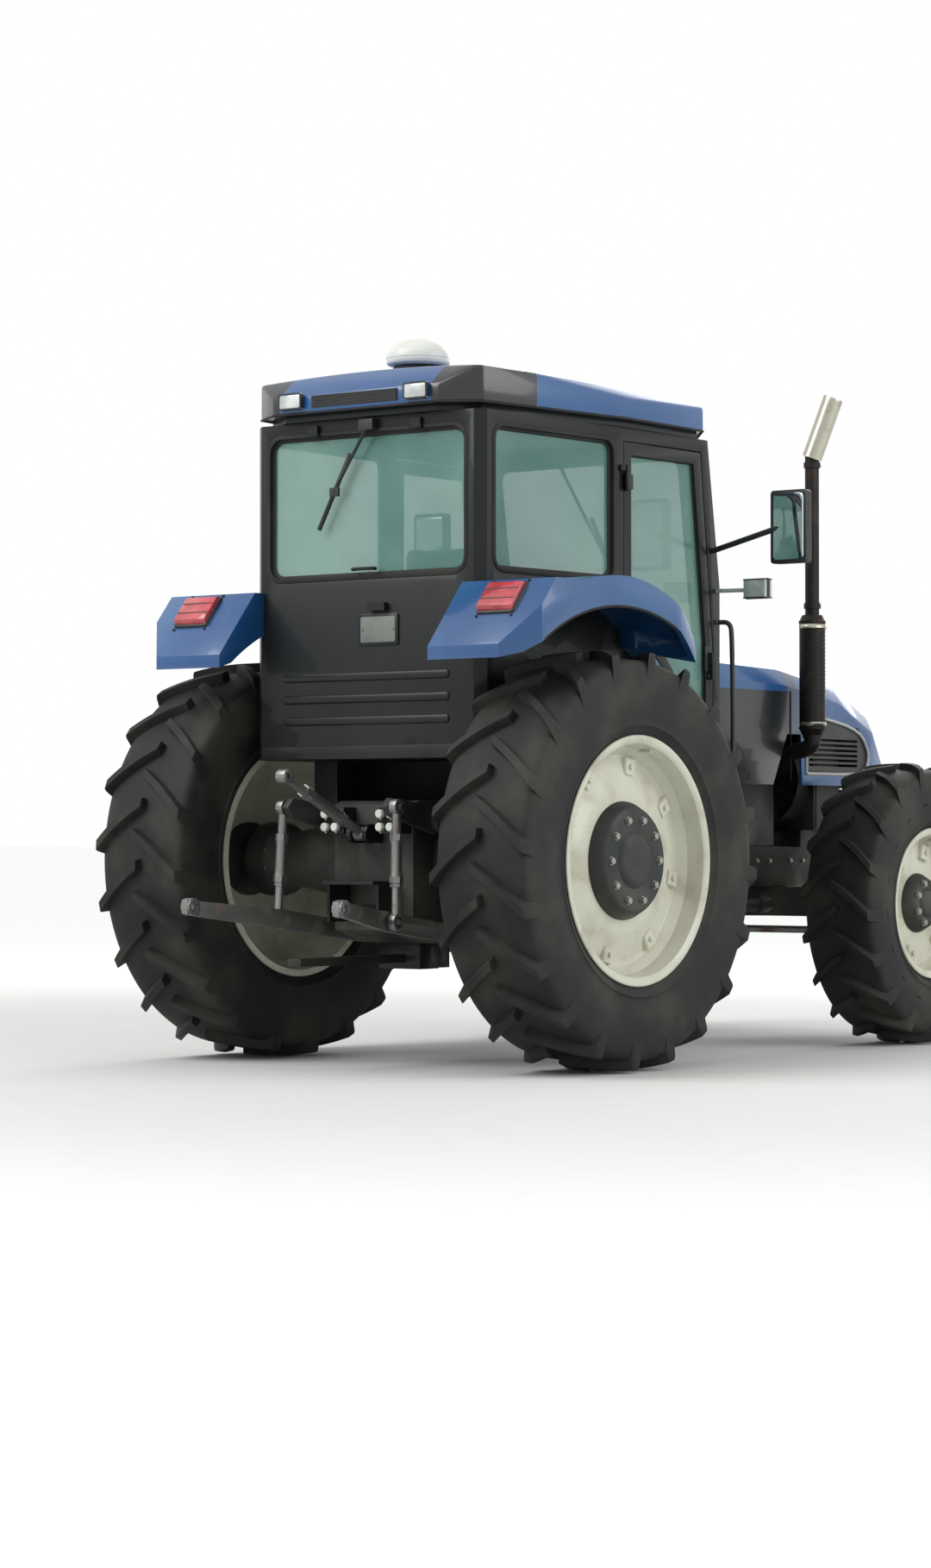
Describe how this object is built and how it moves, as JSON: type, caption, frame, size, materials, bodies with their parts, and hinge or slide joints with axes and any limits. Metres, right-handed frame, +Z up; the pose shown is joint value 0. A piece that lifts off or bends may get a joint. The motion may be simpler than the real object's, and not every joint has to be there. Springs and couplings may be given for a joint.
{
  "type": "farm tractor",
  "caption": "Four-wheel-drive farm tractor with a glazed six-post cab, large rear wheels, rear three-point linkage and a stack beside the hood.",
  "frame": {"origin": "on the ground, at the middle of the box that bounds the whole tractor", "axes": "+X forward, +Y to the tractor's left, +Z up"},
  "size_m": [4.84, 2.46, 3.352],
  "materials": {
    "blue_paint": "gloss",
    "cast_iron": "satin",
    "black_paint": "satin",
    "rim_paint": "gloss",
    "dark_hub": "satin",
    "tyre": "matte",
    "cab_glass": "gloss",
    "black_plastic": "matte",
    "lamp_red": "gloss",
    "lamp_clear": "gloss",
    "white_plastic": "satin",
    "chrome": "polished",
    "link_steel": "satin",
    "seat_fabric": "matte"
  },
  "bodies": {
    "root": {"transmission": "cast_iron", "rear_axle": "cast_iron", "engine": "cast_iron", "front_support": "cast_iron", "front_axle": "cast_iron", "cab_frame": "black_paint", "cab_glass": "cab_glass", "cab_floor": "black_paint", "roof_cap": "blue_paint", "roof_dome": "white_plastic", "fenders": "blue_paint", "tail_lamps": "lamp_red", "exhaust": "chrome", "tanks": "black_plastic", "seat": "seat_fabric", "controls": "black_plastic", "work_lamps": "lamp_clear", "mirrors": "black_plastic", "wipers": "black_plastic", "hitch_frame": "black_paint"},
    "hood": {"hood": "blue_paint", "grille": "black_plastic", "headlamps": "lamp_clear"},
    "door_left": {"door_left": "black_paint", "door_glass_left": "cab_glass"},
    "door_right": {"door_right": "black_paint", "door_glass_right": "cab_glass"},
    "knuckle_left": {"front_knuckle_left": "cast_iron"},
    "knuckle_right": {"front_knuckle_right": "cast_iron"},
    "tie_rod": {"tie_rod": "link_steel"},
    "rear_wheel_left": {"rear_tyre_left": "tyre", "rear_rim_left": "rim_paint", "rear_hub_left": "dark_hub"},
    "rear_wheel_right": {"rear_tyre_right": "tyre", "rear_rim_right": "rim_paint", "rear_hub_right": "dark_hub"},
    "front_wheel_left": {"front_tyre_left": "tyre", "front_rim_left": "rim_paint"},
    "front_wheel_right": {"front_tyre_right": "tyre", "front_rim_right": "rim_paint"},
    "lower_links": {"lower_links": "link_steel"},
    "lift_arms": {"lift_arms": "cast_iron"},
    "lift_rods": {"lift_rods": "link_steel"},
    "top_link": {"top_link": "link_steel"},
    "pto_shaft": {"pto_shaft": "link_steel"}
  },
  "joints": [
    {"name": "rear_left_spin", "type": "hinge", "parent": "root", "child": "rear_wheel_left", "pos_m": [-1.23, 0.98, 0.94], "axis": [0, 1, 0], "continuous": true},
    {"name": "rear_right_spin", "type": "hinge", "parent": "root", "child": "rear_wheel_right", "pos_m": [-1.23, -0.98, 0.94], "axis": [0, 1, 0], "continuous": true},
    {"name": "steer_left", "type": "hinge", "parent": "root", "child": "knuckle_left", "pos_m": [1.52, 0.735, 0.71], "axis": [0, 0, 1], "range_deg": [-42, 42]},
    {"name": "steer_right", "type": "hinge", "parent": "root", "child": "knuckle_right", "pos_m": [1.52, -0.735, 0.71], "axis": [0, 0, 1], "range_deg": [-42, 42]},
    {"name": "tie_rod_swing", "type": "hinge", "parent": "knuckle_left", "child": "tie_rod", "pos_m": [1.33, 0.735, 0.57], "axis": [0, 0, 1], "range_deg": [-42, 42]},
    {"name": "front_left_spin", "type": "hinge", "parent": "knuckle_left", "child": "front_wheel_left", "pos_m": [1.52, 0.94, 0.71], "axis": [0, 1, 0], "continuous": true},
    {"name": "front_right_spin", "type": "hinge", "parent": "knuckle_right", "child": "front_wheel_right", "pos_m": [1.52, -0.94, 0.71], "axis": [0, 1, 0], "continuous": true},
    {"name": "door_left_swing", "type": "hinge", "parent": "root", "child": "door_left", "pos_m": [-0.628, 0.717, 2.1], "axis": [0, 0, 1], "range_deg": [0, 75]},
    {"name": "door_right_swing", "type": "hinge", "parent": "root", "child": "door_right", "pos_m": [-0.628, -0.717, 2.1], "axis": [0, 0, -1], "range_deg": [0, 75]},
    {"name": "hood_tilt", "type": "hinge", "parent": "root", "child": "hood", "pos_m": [0.33, 0, 1.88], "axis": [0, -1, 0], "range_deg": [0, 40]},
    {"name": "link_lift", "type": "hinge", "parent": "root", "child": "lower_links", "pos_m": [-1.42, 0, 0.6], "axis": [0, 1, 0], "range_deg": [-16, 18]},
    {"name": "arm_lift", "type": "hinge", "parent": "root", "child": "lift_arms", "pos_m": [-1.53, 0, 1.12], "axis": [0, 1, 0], "range_deg": [-22.5, 25]},
    {"name": "rod_swing", "type": "hinge", "parent": "lift_arms", "child": "lift_rods", "pos_m": [-1.865, 0, 1.179], "axis": [0, 1, 0], "range_deg": [-24.5, 22]},
    {"name": "top_link_fold", "type": "hinge", "parent": "root", "child": "top_link", "pos_m": [-1.705, 0, 1.06], "axis": [0, -1, 0], "range_deg": [-60, 45]},
    {"name": "pto_spin", "type": "hinge", "parent": "root", "child": "pto_shaft", "pos_m": [-1.67, 0, 0.72], "axis": [1, 0, 0], "continuous": true}
  ],
  "couplings": [
    {"joint": "steer_right", "follows": "steer_left", "ratio": 1},
    {"joint": "tie_rod_swing", "follows": "steer_left", "ratio": -1},
    {"joint": "arm_lift", "follows": "link_lift", "ratio": 1.38},
    {"joint": "rod_swing", "follows": "link_lift", "ratio": -1.346}
  ]
}
